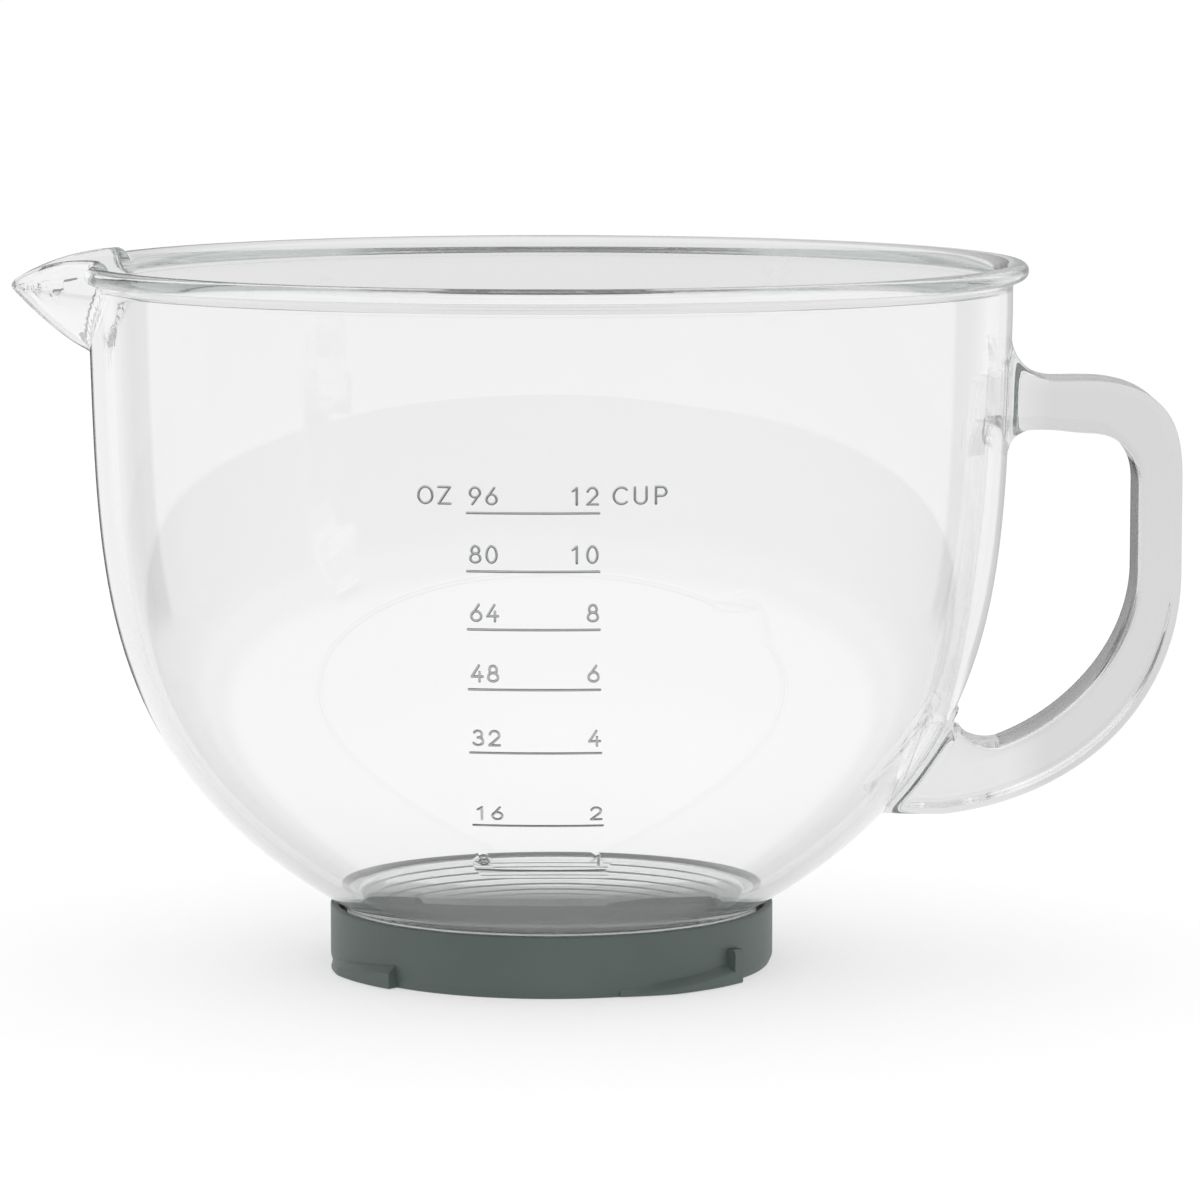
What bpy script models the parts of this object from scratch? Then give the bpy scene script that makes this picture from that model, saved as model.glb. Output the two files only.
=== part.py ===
"""Glass mixing bowl with a pouring spout, a side handle and a bayonet base.

The bowl's axis is Z and the base rests on Z = 0. The handle points to +X, the spout to -X.
Lengths are in millimetres, and each mesh is scaled to metres as it is made.
"""
import math

import bmesh
import bpy
from mathutils import Vector

MM = 0.001
GAP = 0.3

# Glass body: an almost upright wall that rounds into a flat floor.
RIM_HEIGHT = 172.2
WALL = 3.2
BODY_RADIUS = 112.0
SHOULDER_HEIGHT = 160.1
BODY_DEPTH = 165.3
BODY_TAPER = 0.026
CURVE_POWER = 4.0
CURVE_ROOT = 1.2
FLOOR_HEIGHT = 15.1
FLOOR_DISH = 1.47
FLOOR_RADIUS = 45.8
CORNER_HEIGHT = 1.8

# Foot ring under the glass.
FOOT_RADIUS = 50.4
FOOT_BOTTOM = 12.6
FOOT_WIDTH = 6.0
FOOT_RECESS = 0.02
FOOT_EDGE = 0.4

# Rolled bead along the rim.
BEAD_RADIUS = 2.1
BEAD_OFFSET = 1.7
BEAD_SHOULDER = 4.0

# Beak-shaped spout.
SPOUT_HALF_ANGLE = math.radians(16.5)
SPOUT_DEPTH = 22.5
SPOUT_REACH = 20.3
SPOUT_TIP_BELOW_RIM = 6.5
SPOUT_KEEL_POWER = 0.75
SPOUT_CREASE_POWER = 0.8
SPOUT_NOSE_ANGLE = math.radians(1.3)
LIP_DROP = 5.1
LIP_RISE = 1.5
LIP_POWER = 2.6
LIP_EDGE = 1.7
CREASE_FILLET = 1.0

# Handle: a flat glass strap, bent in the XZ plane.
HANDLE_DEPTH = 26.0
HANDLE_EDGE = 2.2
HANDLE_TOP = 137.6
HANDLE_OUTER_AXIS = 147.6
HANDLE_FOOT = 44.3
ARM_THICKNESS = 12.0
ARM_END_THICKNESS = 12.8
CORNER_THICKNESS = 13.5
GRIP_THICKNESS = 10.6
LOWER_THICKNESS = 12.9
TAIL_THICKNESS = 12.0
ROOT_FILLET_UPPER = 11.0
ROOT_FILLET_INNER = 6.5
ROOT_FILLET_LOWER = 8.0
ROOT_FILLET_SIDE = 3.2
ROOT_FILLET_UNDER = 1.2

# Bayonet base, a moulded cup around the foot.
BASE_RADIUS = 54.3
BASE_HEIGHT = 15.2
BASE_INNER_RADIUS = 52.2
BASE_MOUTH_RADIUS = 53.0
BASE_FLOOR_TOP = 10.6
BASE_FLOOR_BOTTOM = 8.0
BASE_RIM_WIDTH = 2.7
BASE_TAPER = 1.0
BASE_TAPER_HEIGHT = 2.4
HUB_RADIUS = 12.0
RIB_COUNT = 6
RIB_WIDTH = 2.4
RIB_BOTTOM = 0.5

# Lugs that turn under the mixer's bayonet, rising anticlockwise seen from above.
LUG_RADIUS = 56.7
LUG_BOTTOM = 0.25
LUG_LOW = 0.3
LUG_CHAMFER = 1.7
PLAIN_LUG = {"start": -171.0, "end": -133.0, "high": 3.9}
STOP_LUG = {"start": -72.0, "end": -38.0, "high": 3.1}
STOP_HEIGHT = 8.6
STOP_SPAN = 2.4

# Silicone under and around the foot.
CUSHION_INNER = 41.2
CUSHION_OUTER = 46.8
BOND_HEIGHT = 12.2

# Mesh resolution.
SPOUT_COLUMNS = 6
SPOUT_EXTRA_COLUMNS = 2
BODY_COLUMNS = 42
ROUND_COLUMNS = 72
LOWER_ROWS = 11
SPOUT_ROWS = 4
STRAP_SIDE_POINTS = 4


def clear_scene():
    """Remove the objects of the start-up scene."""
    for existing in list(bpy.data.objects):
        bpy.data.objects.remove(existing, do_unlink=True)


def make_material(name, colour, roughness, transmission=0.0):
    """Return a Principled material with one colour and finish."""
    material = bpy.data.materials.new(name)
    material.use_nodes = True
    shader = material.node_tree.nodes["Principled BSDF"]
    shader.inputs["Base Color"].default_value = (*colour, 1.0)
    shader.inputs["Roughness"].default_value = roughness
    shader.inputs["Metallic"].default_value = 0.0
    shader.inputs["Transmission Weight"].default_value = transmission
    return material


def body_radius(z):
    """Outer radius of the glass wall at height z."""
    drop = max(SHOULDER_HEIGHT - z, 0.0)
    cone = BODY_RADIUS - BODY_TAPER * drop
    share = min(drop / BODY_DEPTH, 1.0)
    return cone * (1.0 - share**CURVE_POWER) ** (1.0 / CURVE_ROOT)


def body_slope(z):
    """Change of the outer radius with height."""
    step = 0.05
    return (body_radius(z + step) - body_radius(z - step)) / (2.0 * step)


def inner_radius(z):
    """Radius of the glass wall's inner face at height z, a wall thickness inside the outer one."""
    low = z - WALL
    high = z
    for _ in range(40):
        middle = 0.5 * (low + high)
        slope = body_slope(middle)
        if middle + WALL * slope / math.hypot(1.0, slope) < z:
            low = middle
        else:
            high = middle
    slope = body_slope(low)
    return body_radius(low) - WALL / math.hypot(1.0, slope)


def smooth_step(value):
    """Ease from 0 to 1 as value goes from 0 to 1."""
    clamped = min(max(value, 0.0), 1.0)
    return clamped * clamped * (3.0 - 2.0 * clamped)


def soft_max(first, second, width):
    """Larger of two values, rounded where they are closer than width."""
    overlap = max(width - abs(first - second), 0.0) / width
    return max(first, second) + 0.25 * width * overlap * overlap


def mix(first, second, share):
    """Value between first and second."""
    return first + (second - first) * share


def spout_angle(angle):
    """Angle away from the spout's middle plane, always positive."""
    turn = (angle - math.pi) % (2.0 * math.pi)
    return min(turn, 2.0 * math.pi - turn)


def spout_share(angle):
    """1 on the spout and 0 on the plain rim, blended at the spout's two corners."""
    margin = math.radians(1.4)
    return smooth_step((SPOUT_HALF_ANGLE + margin - spout_angle(angle)) / (2.0 * margin))


def rim_height(angle):
    """Height of the rim's crest, which rises at the spout's corners and dips at its tip."""
    along = max(1.0 - spout_angle(angle) / SPOUT_HALF_ANGLE, 0.0)
    drop = (LIP_DROP + LIP_RISE) * along**LIP_POWER - LIP_RISE
    return RIM_HEIGHT - drop * spout_share(angle)


def outer_radius(angle, z):
    """Outer radius at an angle and height, with the spout's two flat cheeks."""
    wall = body_radius(z)
    root = RIM_HEIGHT - SPOUT_DEPTH
    if z <= root or spout_angle(angle) > 2.0 * SPOUT_HALF_ANGLE:
        return wall
    rise = min((z - root) / (SPOUT_DEPTH - SPOUT_TIP_BELOW_RIM), 1.0)
    keel = wall + SPOUT_REACH * rise**SPOUT_KEEL_POWER
    crease = SPOUT_HALF_ANGLE * rise**SPOUT_CREASE_POWER
    from_middle = math.hypot(spout_angle(angle), SPOUT_NOSE_ANGLE) - 0.5 * SPOUT_NOSE_ANGLE
    half_width = wall * math.sin(crease)
    run = keel - wall * math.cos(crease)
    cheek = keel * half_width / (half_width * math.cos(from_middle) + run * math.sin(from_middle))
    return soft_max(wall, cheek, CREASE_FILLET * min(rise * 4.0, 1.0) + 0.01)


def cavity_radius(angle, z):
    """Inner radius at an angle and height; the spout's glass keeps the wall's thickness."""
    wall = inner_radius(z)
    bulge = outer_radius(angle, z) - body_radius(z)
    if bulge <= 0.0:
        return wall
    turn = math.radians(0.5)
    lift = 0.4
    across = outer_radius(angle + turn, z) - outer_radius(angle - turn, z)
    upward = outer_radius(angle, z + lift) - outer_radius(angle, z - lift)
    lean_across = across / (2.0 * turn * outer_radius(angle, z))
    lean_up = upward / (2.0 * lift)
    stretch = min(math.sqrt(1.0 + lean_across**2 + lean_up**2), 1.6)
    inside = bulge - WALL * (stretch - 1.0)
    return wall + max(inside, 0.0)


def bead_points(angle):
    """Rim section outside the spout: fillet, bead and rounded inner edge."""
    top = rim_height(angle)
    wall = body_radius(RIM_HEIGHT)
    centre = wall + BEAD_OFFSET
    points = [(wall, top - 5.6), (wall + 0.4, top - 4.8), (wall + 1.1, top - 4.3)]
    for degrees in (-65, -30, 0, 30, 60, 90):
        turn = math.radians(degrees)
        radius = centre + BEAD_RADIUS * math.cos(turn)
        points.append((radius, top - BEAD_RADIUS + BEAD_RADIUS * math.sin(turn)))
    run = centre - inner_radius(RIM_HEIGHT - BEAD_SHOULDER)
    for degrees in (30, 60, 90):
        turn = math.radians(degrees)
        height = top - BEAD_SHOULDER * (1.0 - math.cos(turn))
        points.append((centre - run * math.sin(turn), height))
    return points


def lip_points(angle):
    """Rim section on the spout: a plain rounded edge of the wall's thickness."""
    top = rim_height(angle)
    points = [(outer_radius(angle, top - below), top - below) for below in (5.6, 4.4, 3.2)]
    outside = outer_radius(angle, top - LIP_EDGE)
    inside = cavity_radius(angle, top - LIP_EDGE)
    middle = 0.5 * (outside + inside)
    half = 0.5 * (outside - inside)
    for degrees in (0, 18, 36, 54, 72, 90, 120, 150, 180):
        turn = math.radians(degrees)
        height = top - LIP_EDGE + LIP_EDGE * math.sin(turn)
        points.append((middle + half * math.cos(turn), height))
    return points


def rim_points(angle):
    """Rim section at an angle, from the outer wall over the crest to the inner wall."""
    share = spout_share(angle)
    pairs = zip(bead_points(angle), lip_points(angle))
    return [(mix(bead[0], lip[0], share), mix(bead[1], lip[1], share)) for bead, lip in pairs]


def floor_points(edge, bottom):
    """Inside corner from the wall's edge to the floor, and the floor's shallow dish."""
    rim = FLOOR_HEIGHT + FLOOR_DISH
    points = [(edge, bottom), (mix(edge, FLOOR_RADIUS, 0.35), mix(bottom, rim, 0.6))]
    for share in (1.0, 0.75, 0.5, 0.25, 0.0):
        points.append((FLOOR_RADIUS * share, FLOOR_HEIGHT + FLOOR_DISH * share * share))
    return points


def bowl_section(angle):
    """Half section of the glass at an angle, from the underside's centre to the floor's centre."""
    foot_inside = FOOT_RADIUS - FOOT_WIDTH
    recess = FOOT_BOTTOM + FOOT_RECESS
    points = [(0.0, recess), (foot_inside - FOOT_EDGE, recess), (foot_inside, FOOT_BOTTOM)]
    points.append((FOOT_RADIUS - FOOT_EDGE, FOOT_BOTTOM))
    points.append((FOOT_RADIUS, FOOT_BOTTOM + FOOT_EDGE))

    root = RIM_HEIGHT - SPOUT_DEPTH
    neck = FOOT_BOTTOM
    while body_radius(neck) < FOOT_RADIUS:
        neck += 0.01
    for row in range(LOWER_ROWS):
        climb = 1.0 - math.cos(0.5 * math.pi * row / LOWER_ROWS)
        height = mix(neck, root, climb)
        points.append((body_radius(height), height))

    rim = rim_points(angle)
    for row in range(SPOUT_ROWS):
        height = mix(root, rim[0][1], row / SPOUT_ROWS)
        points.append((outer_radius(angle, height), height))
    points.extend(rim)
    for row in range(1, SPOUT_ROWS + 1):
        height = mix(rim[-1][1], root, row / SPOUT_ROWS)
        points.append((cavity_radius(angle, height), height))
    bottom = FLOOR_HEIGHT + CORNER_HEIGHT
    for row in range(LOWER_ROWS - 1, 0, -1):
        climb = 1.0 - math.cos(0.5 * math.pi * row / LOWER_ROWS)
        height = mix(bottom, root, climb)
        points.append((inner_radius(height), height))
    points.extend(floor_points(inner_radius(bottom), bottom))
    return points


def bowl_angles():
    """Angles of the bowl's columns: even around the body and closer together on the spout."""
    step = SPOUT_HALF_ANGLE / SPOUT_COLUMNS
    reach = SPOUT_COLUMNS + SPOUT_EXTRA_COLUMNS
    angles = [math.pi + step * column for column in range(-reach, reach)]
    start = math.pi + step * reach
    sweep = 2.0 * math.pi - 2.0 * step * reach
    angles.extend(start + sweep * column / BODY_COLUMNS for column in range(BODY_COLUMNS))
    return angles


def round_angles():
    """Evenly spaced angles for the turned pieces."""
    return [2.0 * math.pi * column / ROUND_COLUMNS for column in range(ROUND_COLUMNS)]


def finish_mesh(name, bm, material):
    """Turn a bmesh in millimetres into a smooth-shaded object in metres."""
    bmesh.ops.recalc_face_normals(bm, faces=bm.faces)
    bmesh.ops.scale(bm, vec=Vector((MM, MM, MM)), verts=bm.verts)
    mesh = bpy.data.meshes.new(name)
    bm.to_mesh(mesh)
    bm.free()
    mesh.shade_smooth()
    mesh.set_sharp_from_angle(angle=math.radians(35.0))
    if material is not None:
        mesh.materials.append(material)
    placed = bpy.data.objects.new(name, mesh)
    bpy.context.collection.objects.link(placed)
    return placed


def turned(name, angles, section, material):
    """Skin one half section per angle; sections start and end on the axis, or form a loop."""
    bm = bmesh.new()
    sections = [section(angle) for angle in angles]
    capped = sections[0][0][0] == 0.0
    inner = [points[1:-1] if capped else points for points in sections]
    columns = []
    for angle, points in zip(angles, inner):
        spots = [(r * math.cos(angle), r * math.sin(angle), z) for r, z in points]
        columns.append([bm.verts.new(spot) for spot in spots])
    rows = len(columns[0])
    last_row = rows - 1 if capped else rows
    for here, there in zip(columns, columns[1:] + columns[:1]):
        for row in range(last_row):
            above = (row + 1) % rows
            bm.faces.new((here[row], there[row], there[above], here[above]))
    if capped:
        for end, row in ((0, 0), (-1, -1)):
            pole = bm.verts.new((0.0, 0.0, sections[0][end][1]))
            for here, there in zip(columns, columns[1:] + columns[:1]):
                bm.faces.new((here[row], there[row], pole))
    return finish_mesh(name, bm, material)


def bezier(first, first_pull, last_pull, last, count):
    """Points along a cubic curve, without its last one."""
    points = []
    for index in range(count):
        t = index / count
        weights = ((1 - t) ** 3, 3 * t * (1 - t) ** 2, 3 * t * t * (1 - t), t**3)
        spots = (first, first_pull, last_pull, last)
        x = sum(weight * spot[0] for weight, spot in zip(weights, spots))
        z = sum(weight * spot[1] for weight, spot in zip(weights, spots))
        points.append((x, z))
    return points


def straight(first, last, count, power=1.0):
    """Points from first towards last, without the last one; closer at first if power is above 1."""
    shares = [(index / count) ** power for index in range(count)]
    return [(mix(first[0], last[0], share), mix(first[1], last[1], share)) for share in shares]


def handle_path():
    """Centre line of the handle with its thickness at each point, as (x, z, thickness)."""
    arm_start = (108.5, HANDLE_TOP + 0.2)
    arm_wall = (111.2, HANDLE_TOP + 0.2)
    arm_root = (121.0, HANDLE_TOP + 0.1)
    arm_end = (130.0, HANDLE_TOP - 0.3)
    grip_top = (HANDLE_OUTER_AXIS, 118.0)
    grip_end = (HANDLE_OUTER_AXIS, 97.0)
    root_start = (95.0, HANDLE_FOOT)
    tail_end = (68.0, HANDLE_FOOT)
    corner = bezier(arm_end, (141.5, HANDLE_TOP - 0.3), (HANDLE_OUTER_AXIS, 131.5), grip_top, 8)
    sweep = bezier(grip_end, (HANDLE_OUTER_AXIS, 73.0), (129.0, 48.5), root_start, 26)
    legs = [
        (straight(arm_start, arm_wall, 1), ARM_THICKNESS, ARM_THICKNESS),
        (straight(arm_wall, arm_root, 9, 2.0), ARM_THICKNESS, ARM_THICKNESS),
        (straight(arm_root, arm_end, 2), ARM_THICKNESS, ARM_END_THICKNESS),
        (corner[:4], ARM_END_THICKNESS, CORNER_THICKNESS),
        (corner[4:], CORNER_THICKNESS, GRIP_THICKNESS),
        (straight(grip_top, grip_end, 3), GRIP_THICKNESS, GRIP_THICKNESS),
        (sweep[:16:2], GRIP_THICKNESS, LOWER_THICKNESS),
        (sweep[16:], LOWER_THICKNESS, LOWER_THICKNESS),
        (straight(root_start, tail_end, 26), LOWER_THICKNESS, TAIL_THICKNESS),
    ]
    path = []
    for points, thick_first, thick_last in legs:
        for index, (x, z) in enumerate(points):
            share = smooth_step(index / len(points))
            path.append((x, z, mix(thick_first, thick_last, share)))
    return path


def wall_distance(x, y, z):
    """Distance of a point from the bowl's outer wall; negative inside it."""
    return (math.hypot(x, y) - body_radius(z)) / math.hypot(1.0, body_slope(z))


def root_flare(distance, radius, corner):
    """How far a round fillet climbs a wall from the face it joins, at a distance from the wall."""
    away = max(distance, 0.0)
    if away >= radius * (1.0 + math.cos(corner)):
        return 0.0
    tangent = radius / math.tan(0.5 * corner)
    return tangent - math.sqrt(2.0 * radius * away - away * away) - away / math.tan(corner)


def wall_climb(z, normal):
    """Unit (x, z) direction along the bowl's wall, to the side a face with this normal looks."""
    slope = body_slope(z)
    length = math.copysign(math.hypot(1.0, slope), slope * normal[0] + normal[1])
    return slope / length, 1.0 / length


def wall_corner(z, normal):
    """Angle through the air between the bowl's wall and a strap face with this (x, z) normal."""
    slope = body_slope(z)
    facing = (normal[0] - slope * normal[1]) / math.hypot(1.0, slope)
    return math.acos(min(max(-facing, -0.9), 0.9))


def fillet_radius(out_normal, z):
    """Fillet size on the finger side, above the arm and under the lower end."""
    at_arm = z > 0.5 * RIM_HEIGHT
    if out_normal <= 0.0:
        return ROOT_FILLET_INNER if at_arm else ROOT_FILLET_LOWER
    return ROOT_FILLET_UPPER if at_arm else ROOT_FILLET_UNDER


def strap_outline(half_thickness, half_depth):
    """Rounded rectangle as (offset outward, offset along Y, normal outward, normal along Y)."""
    outline = []
    corners = ((1, 1, 0), (-1, 1, 90), (-1, -1, 180), (1, -1, 270))
    for side, front, start in corners:
        for step in (0, 45, 90):
            turn = math.radians(start + step)
            out = side * (half_thickness - HANDLE_EDGE) + HANDLE_EDGE * math.cos(turn)
            along = front * (half_depth - HANDLE_EDGE) + HANDLE_EDGE * math.sin(turn)
            outline.append((out, along, math.cos(turn), math.sin(turn)))
        if side == front:
            flat = side * (half_thickness - HANDLE_EDGE)
            for point in range(1, STRAP_SIDE_POINTS + 1):
                share = point / (STRAP_SIDE_POINTS + 1)
                outline.append((mix(flat, -flat, share), front * half_depth, 0.0, float(front)))
    return outline


def make_handle(material, cutter):
    """Glass strap that flares where it meets the bowl, cut to the bowl's curve."""
    bm = bmesh.new()
    path = handle_path()
    rings = []
    for index, (x, z, thickness) in enumerate(path):
        before = path[max(index - 1, 0)]
        after = path[min(index + 1, len(path) - 1)]
        run = (after[0] - before[0], after[1] - before[1])
        length = math.hypot(*run)
        outward = (-run[1] / length, run[0] / length)
        ring = []
        for out, along, out_normal, along_normal in strap_outline(0.5 * thickness, 0.5 * HANDLE_DEPTH):
            spot = (x + out * outward[0], along, z + out * outward[1])
            distance = wall_distance(*spot)
            facing = math.copysign(1.0, out_normal)
            normal = (facing * outward[0], facing * outward[1])
            corner = wall_corner(spot[2], normal)
            climb = wall_climb(spot[2], normal)
            tall = root_flare(distance, fillet_radius(out_normal, z), corner) * abs(out_normal)
            side = root_flare(distance, ROOT_FILLET_SIDE, 0.5 * math.pi) * along_normal
            moved = (spot[0] + tall * climb[0], spot[1] + side, spot[2] + tall * climb[1])
            ring.append(bm.verts.new(moved))
        rings.append(ring)
    count = len(rings[0])
    for here, there in zip(rings, rings[1:]):
        for corner in range(count):
            after = (corner + 1) % count
            bm.faces.new((here[corner], here[after], there[after], there[corner]))
    bm.faces.new(rings[0])
    bm.faces.new(rings[-1])
    handle = finish_mesh("glass_handle", bm, material)
    cut = handle.modifiers.new("bowl_curve", "BOOLEAN")
    cut.operation = "DIFFERENCE"
    cut.solver = "EXACT"
    cut.object = cutter
    return handle


def make_bowl_cutter():
    """Solid of the bowl's outer shape plus the gap, which trims the handle's ends."""
    def section(_angle):
        points = [(0.0, 20.0)]
        for row in range(26):
            height = mix(20.0, RIM_HEIGHT - 6.0, row / 25)
            points.append((body_radius(height) + GAP * math.hypot(1.0, body_slope(height)), height))
        points.append((0.0, RIM_HEIGHT - 6.0))
        return points

    cutter = turned("bowl_cutter", round_angles(), section, None)
    cutter.hide_render = True
    cutter.display_type = "WIRE"
    return cutter


def base_section(_angle):
    """Half section of the base: hub, recessed floor, rest rim and upright wall."""
    return [
        (0.0, 0.0),
        (HUB_RADIUS - 0.4, 0.0),
        (HUB_RADIUS, 0.4),
        (HUB_RADIUS, BASE_FLOOR_BOTTOM),
        (BASE_RADIUS - BASE_TAPER - BASE_RIM_WIDTH, BASE_FLOOR_BOTTOM),
        (BASE_RADIUS - BASE_TAPER - BASE_RIM_WIDTH, 0.0),
        (BASE_RADIUS - BASE_TAPER, 0.0),
        (BASE_RADIUS - 0.3, 0.5 * BASE_TAPER_HEIGHT),
        (BASE_RADIUS, BASE_TAPER_HEIGHT),
        (BASE_RADIUS, BASE_HEIGHT - 0.5),
        (BASE_RADIUS - 0.5, BASE_HEIGHT),
        (BASE_MOUTH_RADIUS, BASE_HEIGHT),
        (BASE_INNER_RADIUS, BASE_HEIGHT - 1.2),
        (BASE_INNER_RADIUS, BASE_FLOOR_TOP),
        (0.0, BASE_FLOOR_TOP),
    ]


def add_swept_wedge(bm, start, end, outline, steps):
    """Add a closed solid swept around Z, whose outline may change along the way."""
    rings = []
    for index in range(steps + 1):
        share = index / steps
        angle = math.radians(mix(start, end, share))
        spots = [(r * math.cos(angle), r * math.sin(angle), z) for r, z in outline(share)]
        rings.append([bm.verts.new(spot) for spot in spots])
    count = len(rings[0])
    for here, there in zip(rings, rings[1:]):
        for corner in range(count):
            after = (corner + 1) % count
            bm.faces.new((here[corner], here[after], there[after], there[corner]))
    bm.faces.new(rings[0])
    bm.faces.new(rings[-1])


def lug_outline(high):
    """Outline of a lug along its ramp, growing out of the wall and rising to high."""
    buried = BASE_RADIUS - 1.6

    def outline(share):
        edge = mix(LUG_LOW, high, share) + LUG_BOTTOM
        reach = mix(BASE_RADIUS + 0.2, LUG_RADIUS, min(share / 0.4, 1.0))
        shoulder = edge + LUG_CHAMFER
        return [(buried, LUG_BOTTOM), (reach, LUG_BOTTOM), (reach, edge),
                (BASE_RADIUS - 0.2, shoulder), (buried, shoulder)]

    return outline


def stop_outline(_share):
    """Outline of the upright rib that ends a stop lug."""
    buried = BASE_RADIUS - 1.6
    return [(buried, LUG_BOTTOM), (LUG_RADIUS, LUG_BOTTOM), (LUG_RADIUS, STOP_HEIGHT - 0.8),
            (LUG_RADIUS - 0.8, STOP_HEIGHT), (buried, STOP_HEIGHT)]


def make_base_details():
    """Lugs, stop ribs and floor ribs in one object, which the base takes in."""
    bm = bmesh.new()
    for half_turn in (0.0, 180.0):
        plain = (PLAIN_LUG["start"] + half_turn, PLAIN_LUG["end"] + half_turn)
        add_swept_wedge(bm, *plain, lug_outline(PLAIN_LUG["high"]), 7)
        stop = (STOP_LUG["start"] + half_turn, STOP_LUG["end"] + half_turn)
        add_swept_wedge(bm, *stop, lug_outline(STOP_LUG["high"]), 7)
        add_swept_wedge(bm, stop[1] + 0.4, stop[1] + 0.4 + STOP_SPAN, stop_outline, 1)
    inner = HUB_RADIUS - 1.0
    outer = BASE_RADIUS - BASE_TAPER - BASE_RIM_WIDTH + 1.0
    for rib in range(RIB_COUNT):
        angle = math.radians(360.0 * (rib + 0.5) / RIB_COUNT)
        along = Vector((math.cos(angle), math.sin(angle), 0.0))
        across = Vector((-along.y, along.x, 0.0)) * (0.5 * RIB_WIDTH)
        lower = []
        upper = []
        for reach, side in ((inner, -1), (outer, -1), (outer, 1), (inner, 1)):
            spot = along * reach + across * side
            lower.append(bm.verts.new((spot.x, spot.y, RIB_BOTTOM)))
            upper.append(bm.verts.new((spot.x, spot.y, BASE_FLOOR_BOTTOM + 0.6)))
        bm.faces.new(lower)
        bm.faces.new(upper)
        for corner in range(4):
            after = (corner + 1) % 4
            bm.faces.new((lower[corner], lower[after], upper[after], upper[corner]))
    details = finish_mesh("base_details", bm, None)
    details.hide_render = True
    details.display_type = "WIRE"
    return details


def make_base(material):
    """Moulded base with its lugs and ribs joined on."""
    base = turned("bayonet_base", round_angles(), base_section, material)
    joined = base.modifiers.new("lugs_and_ribs", "BOOLEAN")
    joined.operation = "UNION"
    joined.solver = "EXACT"
    joined.object = make_base_details()
    return base


def make_cushion(material):
    """Flat silicone ring that the foot stands on."""
    bottom = BASE_FLOOR_TOP + GAP
    top = FOOT_BOTTOM - GAP

    def section(_angle):
        return [(CUSHION_INNER, bottom), (CUSHION_OUTER, bottom),
                (CUSHION_OUTER, top), (CUSHION_INNER, top)]

    return turned("foot_cushion", round_angles(), section, material)


def make_bond(material):
    """Silicone bead at the bottom of the groove between the foot and the base's wall."""
    inner = FOOT_RADIUS + GAP
    outer = BASE_INNER_RADIUS - GAP
    bottom = BASE_FLOOR_TOP + GAP

    def section(_angle):
        return [(inner, bottom), (outer, bottom), (outer, BOND_HEIGHT - 0.4), (inner, BOND_HEIGHT - 0.4)]

    return turned("bond_bead", round_angles(), section, material)


def build():
    """Make every piece of the bowl."""
    clear_scene()
    glass = make_material("clear_glass", (0.95, 0.97, 0.96), 0.02, transmission=1.0)
    plastic = make_material("sage_plastic", (0.115, 0.142, 0.131), 0.48)
    silicone = make_material("grey_silicone", (0.17, 0.18, 0.17), 0.6)
    turned("glass_bowl", bowl_angles(), bowl_section, glass)
    make_handle(glass, make_bowl_cutter())
    make_base(plastic)
    make_cushion(silicone)
    make_bond(silicone)


build()
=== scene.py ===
"""Glass mixing bowl with a spout, a side handle and a bayonet base, in a plain white studio.

The bowl's axis is Z, the handle points to +X and the spout to -X. Shapes are worked out in
millimetres and scaled to metres as each mesh is made.
"""
import math
from functools import lru_cache

import bmesh
import bpy
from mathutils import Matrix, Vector


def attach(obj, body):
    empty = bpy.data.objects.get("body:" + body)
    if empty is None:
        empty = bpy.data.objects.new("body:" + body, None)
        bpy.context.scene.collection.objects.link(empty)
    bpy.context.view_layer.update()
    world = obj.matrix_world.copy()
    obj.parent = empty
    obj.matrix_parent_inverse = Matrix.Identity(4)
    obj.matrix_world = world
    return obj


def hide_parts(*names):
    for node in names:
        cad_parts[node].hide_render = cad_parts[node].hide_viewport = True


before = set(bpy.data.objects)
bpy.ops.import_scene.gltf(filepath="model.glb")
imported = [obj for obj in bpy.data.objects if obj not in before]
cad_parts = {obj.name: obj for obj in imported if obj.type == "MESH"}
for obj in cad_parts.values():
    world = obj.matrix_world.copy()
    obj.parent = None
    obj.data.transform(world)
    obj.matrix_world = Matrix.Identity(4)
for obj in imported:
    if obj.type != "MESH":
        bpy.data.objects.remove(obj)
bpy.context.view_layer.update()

MM = 0.001
GAP = 0.3

# Glass body.
RIM_HEIGHT = 172.2
WALL = 3.2
BODY_RADIUS = 112.0
SHOULDER_HEIGHT = 160.1
BODY_DEPTH = 165.3
BODY_TAPER = 0.026
CURVE_POWER = 4.0
CURVE_ROOT = 1.2
FLOOR_HEIGHT = 15.1
FLOOR_DISH = 1.47
FLOOR_RADIUS = 45.8
CORNER_HEIGHT = 1.8

# Foot ring under the glass.
FOOT_RADIUS = 50.4
FOOT_BOTTOM = 12.6
FOOT_WIDTH = 6.0
FOOT_RECESS = 0.02
FOOT_EDGE = 0.4
NECK_RISE = 1.6

# Rolled bead along the rim; the rim's section starts RIM_DEPTH below its crest.
RIM_DEPTH = 5.8
RIM_PULL_DEPTH = 4.9
BEAD_RADIUS = 2.1
BEAD_OFFSET = 1.7
BEAD_SHOULDER = 4.0
BEAD_START = math.radians(-62.0)
BEAD_PULL = 1.1

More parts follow.
